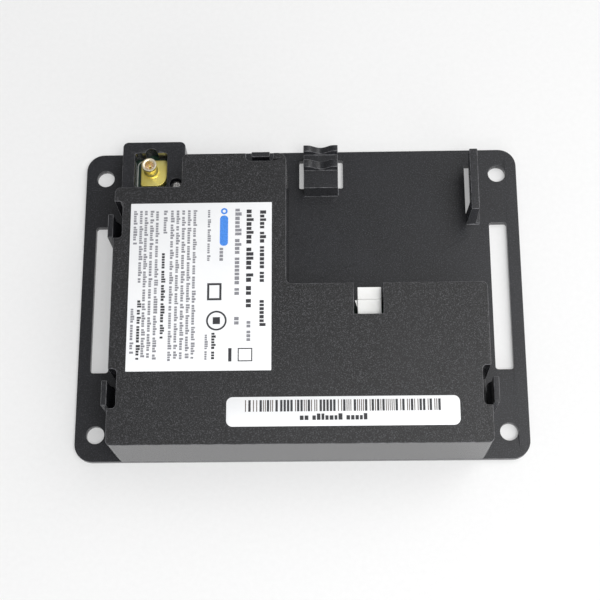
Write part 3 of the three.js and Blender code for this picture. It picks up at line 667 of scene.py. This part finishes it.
def add_rating_print():
    """Greeked lines that run down the label, and plain shapes where its marks would be."""
    low, high = span("rating_label")
    z0, z1 = low.z + INK_BOTTOM, low.z + INK_TOP
    rng = random.Random(11)
    bm = bmesh.new()
    for across, start, end, height, look in RATING_HEADINGS + RATING_TEXT:
        base = high.x - across - height / 2
        add_blocks(bm, rng, start, end, lambda a, up: (base + up, high.y - a), height, look)

    def spot(across, along):
        return high.x - across, high.y - along

    def corners(across, along):
        return spot(across[1], along[1]), spot(across[0], along[0])

    def block(across, along):
        near, far = corners(across, along)
        add_box(bm, (*near, z0), (*far, z1), BLACK)

    def square(across, along, line):
        inside = (across[0] + line, across[1] - line)
        block((across[0], inside[0]), along)
        block((inside[1], across[1]), along)
        block(inside, (along[0], along[0] + line))
        block(inside, (along[1] - line, along[1]))

    near, far = corners((12.3, 14.6), (3.9, 13.0))
    add_prism(bm, rounded_outline(near, far, (far[0] - near[0]) * 0.45, 6), z0, z1, BLUE)
    add_ring(bm, spot(13.45, 2.6), 0.45, 0.95, z0, z1, look=BLUE)
    add_blocks(bm, rng, 13.6, 18.6, lambda a, up: (high.x - 14.6 + up, high.y - a), 1.4, GREY)
    add_ring(bm, spot(15.2, 34.9), 2.35, 2.85, z0, z1, look=BLACK)
    block((14.2, 16.2), (33.9, 35.9))
    square((13.9, 17.9), (24.0, 29.0), 0.6)
    square((5.2, 9.2), (42.8, 46.6), 0.3)
    block((10.9, 11.8), (42.8, 46.6))
    link("rating_label_print", bm, "cover", INKS)


def add_serial_print():
    """A row of bars that encodes nothing, and one greeked line under it."""
    low, high = span("serial_label")
    z0, z1 = low.z + INK_BOTTOM, low.z + INK_TOP
    rng = random.Random(5)
    bm = bmesh.new()
    x = low.x + BARS["left"]
    while x < high.x - BARS["right"] - BARS["unit"]:
        thick = rng.random() < 0.42
        wide = BARS["unit"] * (2.6 if thick else 1)
        add_box(bm, (x, high.y - BARS["bottom"], z0), (x + wide, high.y - BARS["top"], z1),
                BLACK if thick else BROWN)
        x += wide + BARS["unit"] * rng.choice((1.15, 1.15, 2.6))
    line = SERIAL_LINE
    base = high.y - line["top"] - line["height"]
    add_blocks(bm, rng, low.x + line["left"], low.x + line["right"],
               lambda a, up: (a, base + up), line["height"], BLACK)
    link("serial_label_print", bm, "cover", INKS)


def add_labels():
    """Both labels: their film and their generic print."""
    add_film("rating_label", "rating_label_film")
    add_film("serial_label", "serial_label_film")
    add_rating_print()
    add_serial_print()


# ------------------------------------------------------------------ screws and jack

SCREW_NODES = [f"stack_screw_{i}" for i in range(1, 5)] + ["rf_board_screw_1", "rf_board_screw_2",
                                                           "shroud_screw"]
SHANK_RADIUS = 1.1
THREAD = {"pitch": 0.55, "depth": 0.16}
HEAD_HEIGHT = {"large": 1.5, "small": 1.6}
CROSS = {"depth": 0.8, "half_width": 0.2, "reach": 0.56}
POINT = 0.4                  # length of the shank's tapered end


def add_screw(node):
    """A pan-head screw with a cross recess and a threaded shank."""
    low, high = span(node)
    centre = ((low.x + high.x) / 2, (low.y + high.y) / 2, 0)
    radius = (high.x - low.x) / 2
    seat = high.z - HEAD_HEIGHT["large" if radius > 2 else "small"]
    profile = [(0, low.z), (SHANK_RADIUS - 0.35, low.z), (SHANK_RADIUS, low.z + POINT)]
    z = low.z + POINT
    while z < seat - 2 * THREAD["pitch"]:
        profile += [(SHANK_RADIUS - THREAD["depth"], z + THREAD["pitch"] / 2),
                    (SHANK_RADIUS, z + THREAD["pitch"])]
        z += THREAD["pitch"]
    profile += [(SHANK_RADIUS - THREAD["depth"], seat), (radius - 0.12, seat),
                (radius, seat + 0.14), (radius, seat + 0.6), (radius * 0.93, high.z - 0.42),
                (radius * 0.76, high.z - 0.15), (radius * 0.5, high.z - 0.02), (0, high.z)]
    made = bmesh.new()
    add_lathe(made, profile, centre, 36)
    reach = radius * CROSS["reach"]
    for half_x, half_y in ((reach, CROSS["half_width"]), (CROSS["half_width"], reach)):
        arm = bmesh.new()
        add_box(arm, (centre[0] - half_x, centre[1] - half_y, high.z - CROSS["depth"]),
                (centre[0] + half_x, centre[1] + half_y, high.z + 1))
        made = combined(made, arm, "DIFFERENCE")
    piece = link(node + "_turned", made, "housing", ["steel"], 28)
    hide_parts(node)


# the last entry is the height above the jack's base where the barrel's pale gold begins, a painted
# highlight
JACK = {"foot": 2.0, "corners": (0.7, 3.2, 0.7, 0.7), "bore": 1.2, "bore_top": 6.5, "highlight_from": 6.45}
# The barrel's profile, from the axis at its foot, over its rim and down its bore: radius, height.
JACK_BARREL = (
    (0, 0.4), (2.17, 0.4), (2.17, 2.5), (2.1, 2.66), (1.75, 2.95), (1.72, 4.9), (1.84, 5.14),
    (2.1, 5.3), (2.17, 5.44), (2.17, 6.7), (2.12, 6.88), (2.0, 6.98), (1.84, 7.0), (1.56, 6.96),
    (1.32, 6.78), (JACK["bore"], JACK["bore_top"]), (JACK["bore"], JACK["foot"]), (0, JACK["foot"]),
)


def add_jack():
    """The gold jack: a machined foot with one large round corner, and a grooved barrel."""
    low, high = span("coax_jack_body")
    pin_low, pin_high = span("coax_jack_contact")
    x, y = (pin_low.x + pin_high.x) / 2, (pin_low.y + pin_high.y) / 2
    base = low.z
    foot = bmesh.new()
    add_prism(foot, rounded_outline(low, high, JACK["corners"]), base, base + JACK["foot"],
              radius=0.16, segments=3)
    barrel = bmesh.new()
    add_lathe(barrel, JACK_BARREL, (x, y, base), 64)
    shell = combined(foot, barrel, "UNION")
    bore = bmesh.new()
    floor = JACK["foot"] - 0.01
    add_lathe(bore, [(0, floor), (JACK["bore"], floor), (JACK["bore"], JACK["bore_top"]),
                     (0, JACK["bore_top"])], (x, y, base), 64)
    shell = combined(shell, bore, "DIFFERENCE")
    # The barrel's top and the bore's wall take the pale gold, which paints the rim's highlight.
    for face in shell.faces:
        middle = face.calc_center_median()
        bored = (math.hypot(middle.x - x, middle.y - y) < JACK["bore"] + 0.1
                 and middle.z > base + JACK["foot"] + 0.1)
        face.material_index = 1 if bored or middle.z > base + JACK["highlight_from"] else 0
    piece = link("coax_jack_machined", shell, "housing", ["gold", "gold_rim"], 30)
    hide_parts("coax_jack_body")


SILK = {"low": (-49.0, 34.0), "high": (-39.5, 43.75), "width": 0.24, "thickness": 0.03,
        "corner": 1.9}


def add_jack_silkscreen():
    """The white outline printed on the board round the jack's foot."""
    width, z = SILK["width"], span("rf_board")[1].z
    low, high = SILK["low"], SILK["high"]
    bm = bmesh.new()
    add_band(bm, rounded_outline(low, high, SILK["corner"]),
             rounded_outline([v + width for v in low], [v - width for v in high],
                             SILK["corner"] - width), z, z + SILK["thickness"])
    link("rf_board_jack_outline", bm, "housing", ["silk"])


WEDGE = {"front": -5.7, "back": -8.4, "reach": 0.75, "seat": 0.05, "low": 5.0, "high": 1.2}


def add_header_wedge():
    """The small polarising wedge on the header's left side, set down from the header's top."""
    low, high = span("header_housing")
    bm = bmesh.new()
    inner, outer = low.x + WEDGE["seat"], low.x - WEDGE["reach"]
    outline = [(inner, WEDGE["front"]), (inner, WEDGE["back"]), (outer, WEDGE["front"])]
    add_prism(bm, outline, high.z - WEDGE["low"], high.z - WEDGE["high"])
    link("header_key_wedge", bm, "housing", ["nylon"])


# ------------------------------------------------------------------ board parts

def add_leads(bm, low, high, side, count, pitch, reach, width, body_z, look):
    """Gull-wing leads on one side of a chip: a shoulder, a drop and a foot on the board."""
    sign = 1 if side in ("+X", "+Y") else -1
    axis = "Y" if side in ("+X", "-X") else "X"
    edge = {"+X": high.x, "-X": low.x, "+Y": high.y, "-Y": low.y}[side]
    middle = (low.y + high.y) / 2 if axis == "Y" else (low.x + high.x) / 2
    outer, inner = edge, edge - sign * reach
    thick = 0.15
    profile = [(inner - sign * 0.3, body_z), (inner + sign * reach * 0.35, body_z),
               (outer - sign * reach * 0.45, low.z + thick), (outer, low.z + thick),
               (outer, low.z), (outer - sign * reach * 0.58, low.z),
               (inner + sign * reach * 0.22, body_z - thick), (inner - sign * 0.3, body_z - thick)]
    for i in range(count):
        along = middle + (i - (count - 1) / 2) * pitch
        add_strip(bm, profile, along - width / 2, along + width / 2, axis, look)


CHIPS = {
    # node: sides with leads, leads a side, pitch, lead reach, lead width
    "processor_chip": (("+X", "-X", "+Y", "-Y"), 20, 0.65, 1.0, 0.28),
    "memory_chip": (("+Y", "-Y"), 8, 1.1, 0.9, 0.42),
    "line_transceiver": (("+Y", "-Y"), 8, 1.22, 1.0, 0.42),
}


def add_chip(node):
    """A moulded package with a pin-one dimple and gull-wing leads."""
    sides, count, pitch, reach, width = CHIPS[node]
    low, high = span(node)
    trim_x = reach if "+X" in sides else 0
    trim_y = reach if "+Y" in sides else 0
    middle = (low.z + high.z) / 2 + 0.1
    package = bmesh.new()
    add_box(package, (low.x + trim_x, low.y + trim_y, low.z + 0.1),
            (high.x - trim_x, high.y - trim_y, high.z), 0, 0.12)
    dimple = bmesh.new()
    add_lathe(dimple, [(0, -0.12), (0.45, -0.12), (0.5, 0.3), (0, 0.3)],
              (low.x + trim_x + 1.3, high.y - trim_y - 1.3, high.z), 24)
    package = combined(package, dimple, "DIFFERENCE")
    for side in sides:
        add_leads(package, low, high, side, count, pitch, reach, width, middle, 1)
    piece = link(node + "_package", package, "housing", ["resin", "tin"])
    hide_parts(node)


def add_capacitor(node):
    """A can with a crimped groove on a black foot, and a dark polarity segment on its top."""
    low, high = span(node)
    x, y = (low.x + high.x) / 2, (low.y + high.y) / 2
    bm = bmesh.new()
    add_prism(bm, rounded_outline(low, high, (0.3, 1.6, 1.6, 0.3), 1), low.z, low.z + 1.1, 1, 0.1)
    tall = high.z - low.z
    add_lathe(bm, [(0, 0.9), (3.75, 0.9), (3.95, 1.15), (3.95, 1.7), (3.72, 1.95), (3.72, 2.2),
                   (3.95, 2.45), (3.95, tall - 0.55), (3.86, tall - 0.25), (3.6, tall - 0.06),
                   (3.3, tall), (2.9, tall - 0.1), (0, tall - 0.1)], (x, y, low.z), 56, 0)
    for face in bm.faces:
        centre = face.calc_center_median()
        if centre.z > high.z - 0.6 and centre.x < x - 1.7:
            face.material_index = 1
    for sign in (-1, 1):
        lead = x + sign * 3.4
        add_box(bm, (lead - 0.7, y - 0.4, low.z), (lead + 0.7, y + 0.4, low.z + 0.12), 2)
    piece = link(node + "_can", bm, "housing", ["can", "connector", "tin"])
    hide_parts(node)


def add_inductor():
    """A shielded drum inductor: square ferrite shell, wound drum in its well, end terminals."""
    low, high = span("power_inductor")
    x, y = (low.x + high.x) / 2, (low.y + high.y) / 2
    shell = bmesh.new()
    add_prism(shell, rounded_outline(low, high, 1.8, 2), low.z + 0.15, high.z, 0, 0.15)
    well = bmesh.new()
    add_lathe(well, [(0, 1.0), (4.15, 1.0), (4.15, 6.0), (0, 6.0)], (x, y, low.z), 48)
    shell = combined(shell, well, "DIFFERENCE")
    tall = high.z - low.z
    add_lathe(shell, [(0, 0.9), (3.3, 0.9), (3.3, tall - 0.75), (3.75, tall - 0.75),
                      (3.75, tall - 0.15), (3.6, tall), (0, tall)], (x, y, low.z), 48, 0)
    for i in range(6):
        z = low.z + 1.15 + i * 0.42
        add_ring(shell, (x, y), 3.2, 3.75, z, z + 0.38, 40, 1)
    for sign in (-1, 1):
        end = x + sign * 4.3
        add_box(shell, (end - 0.7, y - 2.2, low.z), (end + 0.7, y + 2.2, low.z + 0.3), 2)
    piece = link("power_inductor_wound", shell, "housing", ["ferrite", "copper", "tin"])
    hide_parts("power_inductor")


def add_match_coil(node):
    """A small bobbin coil: two square flanges, a core and four turns."""
    low, high = span(node)
    x, y = (low.x + high.x) / 2, (low.y + high.y) / 2
    bm = bmesh.new()
    add_box(bm, (low.x, low.y, low.z), (high.x, high.y, low.z + 0.5), 0, 0.08)
    add_box(bm, (low.x, low.y, high.z - 0.45), (high.x, high.y, high.z), 0, 0.08)
    add_lathe(bm, [(0, 0.4), (0.95, 0.4), (0.95, 1.9), (0, 1.9)], (x, y, low.z), 24, 0)
    for i in range(4):
        z = 0.52 + i * 0.3
        add_ring(bm, (x, y), 0.9, 1.25, low.z + z, low.z + z + 0.27, 24, 1)
    piece = link(node + "_wound", bm, "housing", ["ferrite", "copper"])
    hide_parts(node)


def add_crystal():
    """A drawn crystal can on its flange."""
    low, high = span("crystal_can")
    bm = bmesh.new()
    add_prism(bm, rounded_outline(low, high, 2.25, 10), low.z, low.z + 0.45, 0, 0.08)
    inner = Vector((0.35, 0.35, 0))
    add_prism(bm, rounded_outline(low + inner, high - inner, 1.9, 10), low.z + 0.4, high.z, 0,
              0.3, 3)
    piece = link("crystal_can_drawn", bm, "housing", ["can"])
    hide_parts("crystal_can")


def add_diode():
    """A moulded diode with two tabs and a pale band at its cathode."""
    low, high = span("rectifier_diode")
    bm = bmesh.new()
    add_box(bm, (low.x + 0.35, low.y, low.z + 0.12), (high.x - 0.35, high.y, high.z), 0, 0.14)
    for x0, x1 in ((low.x, low.x + 1.1), (high.x - 1.1, high.x)):
        add_box(bm, (x0, low.y + 0.55, low.z), (x1, high.y - 0.55, low.z + 0.75), 1, 0.06)
    add_box(bm, (low.x + 0.75, low.y + 0.12, high.z - 0.06), (low.x + 1.15, high.y - 0.12, high.z),
            2)
    piece = link("rectifier_diode_package", bm, "housing", ["resin", "tin", "card"])
    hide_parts("rectifier_diode")


def add_fuse():
    """A ceramic fuse with two end caps."""
    low, high = span("fuse")
    bm = bmesh.new()
    add_box(bm, (low.x + 0.9, low.y + 0.1, low.z + 0.1), (high.x - 0.9, high.y - 0.1, high.z - 0.1),
            0, 0.1)
    for x0, x1 in ((low.x, low.x + 1.4), (high.x - 1.4, high.x)):
        add_box(bm, (x0, low.y, low.z), (x1, high.y, high.z), 1, 0.12)
    piece = link("fuse_capped", bm, "housing", ["nylon", "tin"])
    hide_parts("fuse")


def add_beeper():
    """A round beeper with a grooved case and a sound hole."""
    low, high = span("beeper")
    x, y = (low.x + high.x) / 2, (low.y + high.y) / 2
    tall = high.z - low.z
    bm = bmesh.new()
    add_lathe(bm, [(0, 0), (5.6, 0), (5.9, 0.2), (6.0, 0.5), (6.0, 1.3), (5.85, 1.5), (5.85, 1.8),
                   (6.0, 2.0), (6.0, tall - 0.6), (5.8, tall - 0.2), (5.4, tall), (1.9, tall),
                   (1.7, tall - 0.25), (1.1, tall - 0.25), (1.0, tall - 0.4), (1.0, tall - 2.0),
                   (0, tall - 2.0)], (x, y, low.z), 56)
    piece = link("beeper_case", bm, "housing", ["connector"])
    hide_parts("beeper")


def add_card_cover():
    """Stamped steel cover with a window and two rows of spring fingers."""
    low, high = span("card_socket_cover")
    plate = bmesh.new()
    add_box(plate, low, high)
    tools = bmesh.new()
    middle = (low.y + high.y) / 2
    for row in (-1, 1):
        for i in range(4):
            x = low.x + 3.2 + i * 4.4
            add_box(tools, (x, middle + row * 4.6 - 1.2, low.z - 1),
                    (x + 0.5, middle + row * 4.6 + 1.2, high.z + 1))
            add_box(tools, (x + 1.7, middle + row * 4.6 - 1.2, low.z - 1),
                    (x + 2.2, middle + row * 4.6 + 1.2, high.z + 1))
    add_box(tools, (low.x + 5.5, middle - 1.8, low.z - 1), (high.x - 5.5, middle + 1.8, high.z + 1))
    piece = link("card_socket_cover_stamped", combined(plate, tools, "DIFFERENCE"), "housing",
                 ["steel"])
    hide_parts("card_socket_cover")


def add_shield_lid():
    """The shield's lid, with rows of vent holes through its top."""
    low, high = span("shield_lid")
    tools = bmesh.new()
    for i in range(6):
        for j in range(5):
            x = low.x + (high.x - low.x) * (i + 1) / 7
            y = low.y + (high.y - low.y) * (j + 1) / 6
            add_lathe(tools, [(0, -1), (0.55, -1), (0.55, 1), (0, 1)], (x, y, high.z), 16)
    piece = link("shield_lid_vented", combined(cad_copy("shield_lid"), tools, "DIFFERENCE"),
                 "housing", ["tin"])
    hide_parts("shield_lid")


def add_stacking_connector():
    """Both halves of the board connector keep their CAD shape, with rows of contacts beside them."""
    for node, sign in (("stacking_socket", 1), ("stacking_plug", -1)):
        finish_edges(node, 0.1, "connector", "connector")
        low, high = span(node)
        bm = bmesh.new()
        floor = low.z if sign > 0 else high.z - 0.2
        for i in range(16):
            y = low.y + 1.3 + i * (high.y - low.y - 2.6) / 15
            for x0, x1 in ((low.x - 0.8, low.x + 0.1), (high.x - 0.1, high.x + 0.8)):
                add_box(bm, (x0, y - 0.2, floor), (x1, y + 0.2, floor + 0.2))
        link(node + "_contacts", bm, "housing", ["tin"])


BOARD_PARTS = {
    # board: seed, how many small parts, lowest and highest corner of their field
    "main_board": (23, 90, (-45, -43), (46, -7)),
    "rf_board": (31, 46, (-46, -1), (-8, 33)),
}
CHIP_SIZES = ((1.6, 0.8, 0.5), (2.0, 1.25, 0.6), (1.0, 0.5, 0.4))
CLEARANCE = 0.7              # least distance between parts on a board
GRID = 0.5                   # the step that small parts are placed on


def add_small_parts(board):
    """Chip resistors and capacitors with their solder caps, set clear of the larger parts."""
    seed, count, field_low, field_high = BOARD_PARTS[board]
    top = span(board)[1].z
    taken = [span(node) for node in NODES if node not in (board, "rear_cover", "mounting_plate")]
    taken = [(low, high) for low, high in taken
             if low.z < top + 1.0 and high.z > top - 0.1 and (high - low).x < 60]
    rng = random.Random(seed)
    bm = bmesh.new()
    for _ in range(count):
        wide, deep, tall = rng.choice(CHIP_SIZES)
        if rng.random() < 0.5:
            wide, deep = deep, wide
        x = GRID * round(rng.uniform(field_low[0], field_high[0]) / GRID)
        y = GRID * round(rng.uniform(field_low[1], field_high[1]) / GRID)
        low = Vector((x - wide / 2, y - deep / 2, top))
        high = Vector((x + wide / 2, y + deep / 2, top + tall))
        if any(low.x < h.x + CLEARANCE and high.x > l.x - CLEARANCE
               and low.y < h.y + CLEARANCE and high.y > l.y - CLEARANCE for l, h in taken):
            continue
        taken.append((low, high))
        along = 0 if wide > deep else 1
        cap = (high[along] - low[along]) * 0.24
        body_low, body_high = low.copy(), high.copy()
        body_low[along] += cap * 0.8
        body_high[along] -= cap * 0.8
        body_high.z -= 0.03
        add_box(bm, body_low, body_high, rng.choice((0, 2)))
        for side in (0, 1):
            end_low, end_high = low.copy(), high.copy()
            if side:
                end_low[along] = high[along] - cap
            else:
                end_high[along] = low[along] + cap
            add_box(bm, end_low, end_high, 1)
    link(board + "_small_parts", bm, "housing", ["resin", "tin", "insulator"])


def add_board_parts():
    """Everything that stands on the two boards."""
    for board in BOARD_PARTS:
        add_small_parts(board)
    for node in CHIPS:
        add_chip(node)
    for i in range(1, 4):
        add_capacitor(f"electrolytic_capacitor_{i}")
        add_match_coil(f"match_coil_{i}")
    add_inductor()
    add_crystal()
    add_diode()
    add_fuse()
    add_beeper()
    add_card_cover()
    add_shield_lid()
    add_stacking_connector()


# ------------------------------------------------------------------ stage and hand-over

def add_table():
    """The pale table that the plate lies on, which isn't part of the object."""
    bm = bmesh.new()
    bmesh.ops.create_grid(bm, x_segments=1, y_segments=1, size=TABLE_HALF_SIZE)
    mesh = bpy.data.meshes.new("table")
    bm.to_mesh(mesh)
    bm.free()
    mesh.materials.append(LOOK["table"])
    table = bpy.data.objects.new("table", mesh)
    table.location = (0, 0, -TABLE_DROP * MM)
    bpy.context.scene.collection.objects.link(table)


add_camera()
add_lights()
add_table()
add_kept_nodes()
add_root_fillets()
add_labels()
for screw_node in SCREW_NODES:
    add_screw(screw_node)
add_jack()
add_jack_silkscreen()
add_header_wedge()
add_board_parts()
